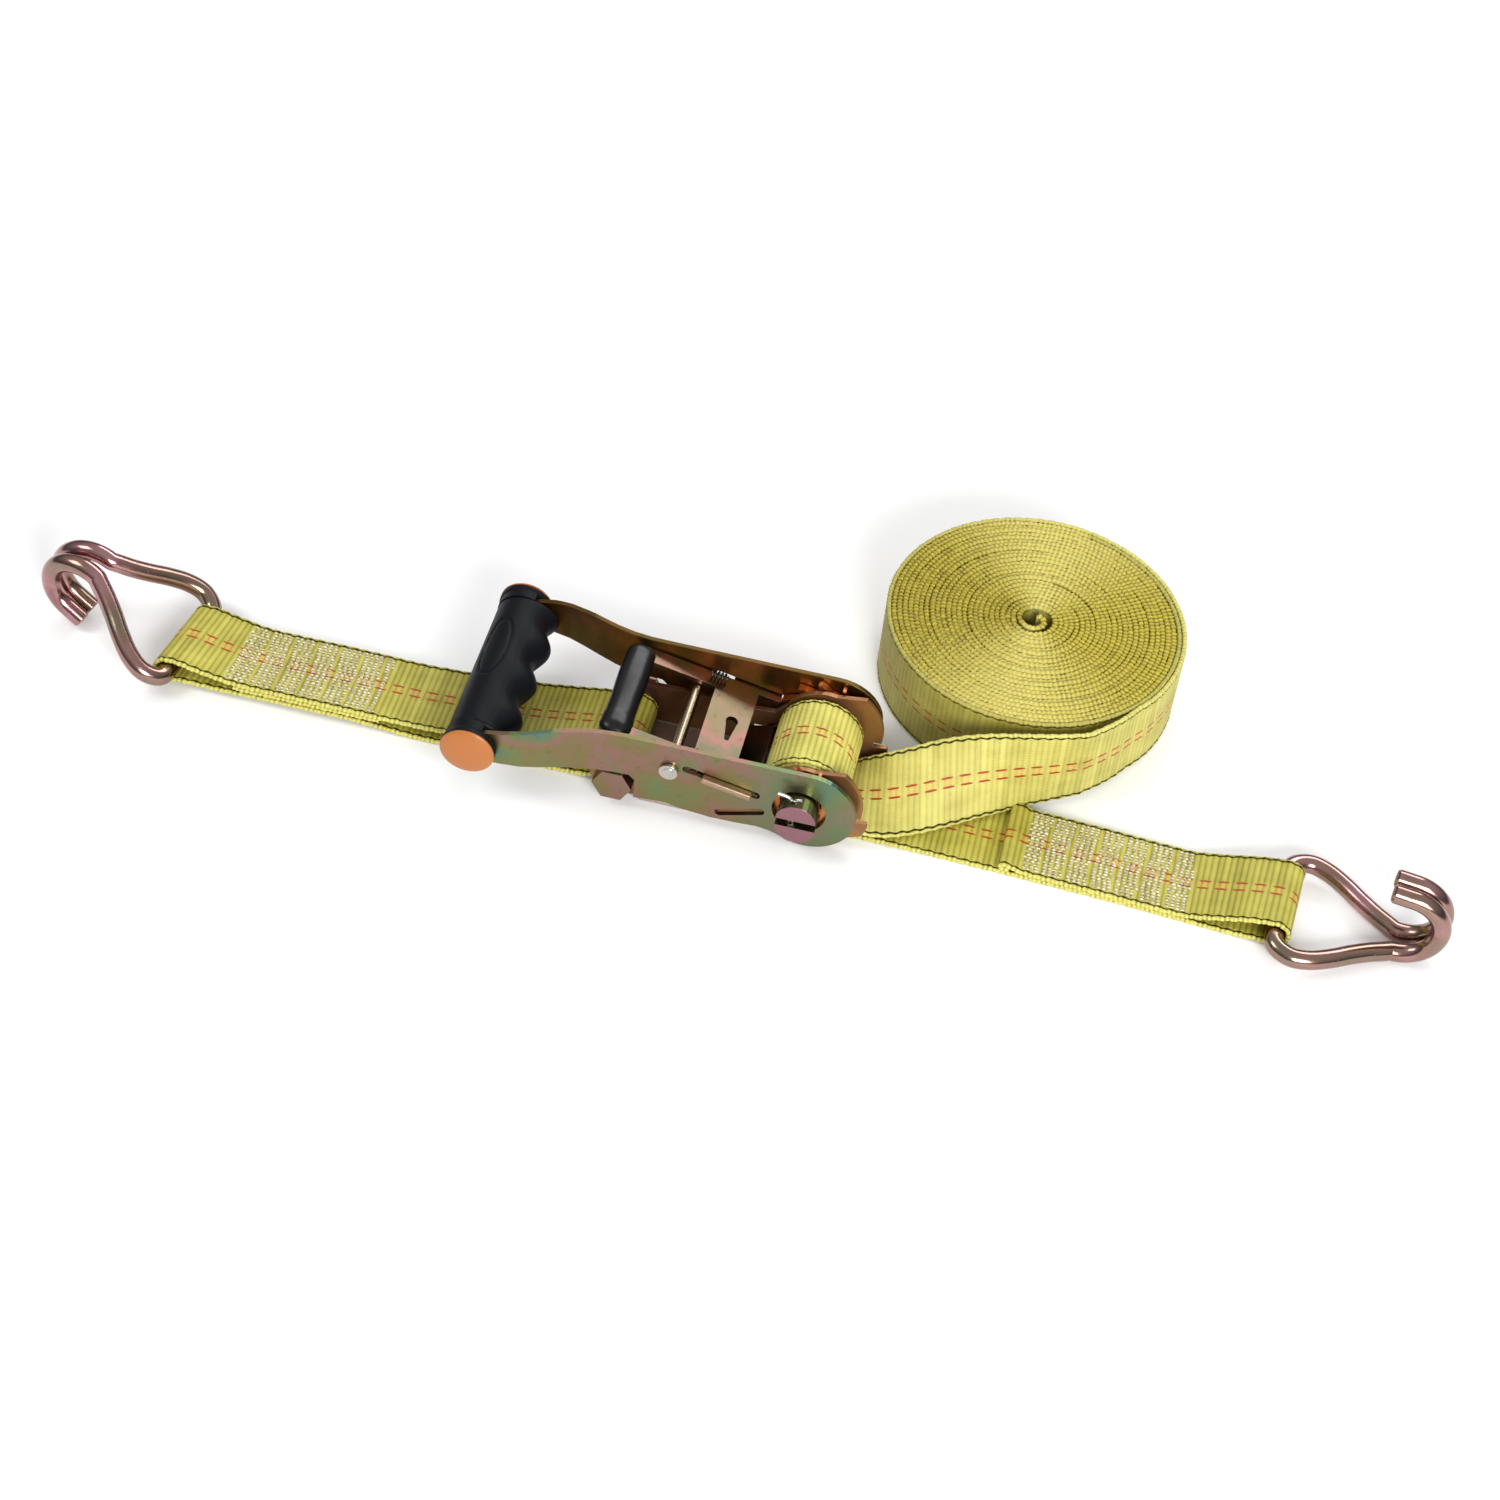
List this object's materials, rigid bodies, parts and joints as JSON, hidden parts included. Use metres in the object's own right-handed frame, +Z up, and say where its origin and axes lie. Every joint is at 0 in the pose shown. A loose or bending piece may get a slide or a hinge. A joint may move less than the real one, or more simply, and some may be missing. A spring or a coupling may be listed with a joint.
{
  "type": "ratchet tie down",
  "caption": "Long-handle ratchet buckle with a hooked fixed-end strap, a hook-ended webbing strap through its slotted mandrel, and the loose tail wound in a flat coil.",
  "frame": {"origin": "middle of the underside of the base frame's floor plate, between the webbing bolt and the mandrel", "axes": "+X along the straps, from the fixed-end hook to the strap-end hook; +Y across the webbing to the far side, where the coil lies; +Z up"},
  "size_m": [0.8264, 0.281, 0.0583],
  "materials": {
    "zinc_plate": "yellow zinc plated, faintly iridescent",
    "copper_plate": "yellow zinc plated, copper-purple tint",
    "bright_steel": "bright zinc or plain steel",
    "hook_plate": "bronze-pink zinc plate over round wire",
    "webbing": "yellow woven polyester webbing with dark edge tracers",
    "grip_plastic": "blue-black moulded plastic",
    "cap_plastic": "orange moulded plastic",
    "bar_coating": "glossy black dipped coating"
  },
  "bodies": {
    "base": {"base_frame": "zinc_plate", "webbing_bolt": "zinc_plate", "webbing_bolt_nut": "zinc_plate", "webbing_bolt_sleeve": "bright_steel", "lock_spring": "bright_steel", "fixed_end_strap": "webbing", "hook_end_strap": "webbing", "tail_strap": "webbing", "webbing_coil": "webbing"},
    "handle": {"handle_arm_near": "zinc_plate", "handle_arm_far": "zinc_plate", "handle_cross_rod": "zinc_plate", "handle_grip": "grip_plastic", "grip_core_rod": "bright_steel", "end_cap_near": "cap_plastic", "end_cap_far": "cap_plastic", "drive_spring_near": "bright_steel", "drive_spring_far": "bright_steel"},
    "drive_pawl_unit": {"drive_pawl": "copper_plate", "release_bar_cover": "bar_coating"},
    "lock_pawl_unit": {"lock_pawl": "copper_plate"},
    "mandrel": {"half_shaft_upper": "zinc_plate", "half_shaft_lower": "zinc_plate", "ratchet_wheel_near": "copper_plate", "ratchet_wheel_far": "copper_plate", "split_pin_near": "bright_steel", "split_pin_far": "bright_steel", "webbing_roll": "webbing"},
    "fixed_hook": {"fixed_end_hook": "hook_plate"},
    "strap_hook": {"strap_end_hook": "hook_plate"}
  },
  "joints": [
    {"name": "handle_hinge", "type": "hinge", "parent": "base", "child": "handle", "pos_m": [0.063, 0, 0.0285], "axis": [0, 1, 0], "range_deg": [0, 150]},
    {"name": "drive_pawl_slide", "type": "slide", "parent": "handle", "child": "drive_pawl_unit", "axis": [-0.9781, 0, 0.2079], "range_m": [-0.004, 0.006], "deforming": ["drive_spring_near", "drive_spring_far"]},
    {"name": "mandrel_spin", "type": "hinge", "parent": "base", "child": "mandrel", "pos_m": [0.063, 0, 0.0285], "axis": [0, 1, 0], "continuous": true},
    {"name": "lock_pawl_slide", "type": "slide", "parent": "base", "child": "lock_pawl_unit", "axis": [-0.9511, 0, -0.309], "range_m": [0, 0.008], "deforming": ["lock_spring"]},
    {"name": "fixed_hook_swing", "type": "hinge", "parent": "base", "child": "fixed_hook", "pos_m": [-0.308, -0.0004, 0.0112], "axis": [0.165, 0.9863, 0], "range_deg": [-10, 45]},
    {"name": "strap_hook_swing", "type": "hinge", "parent": "base", "child": "strap_hook", "pos_m": [0.3356, -0.0128, 0.0112], "axis": [0.0698, 0.9976, 0], "range_deg": [-55, 4]}
  ]
}
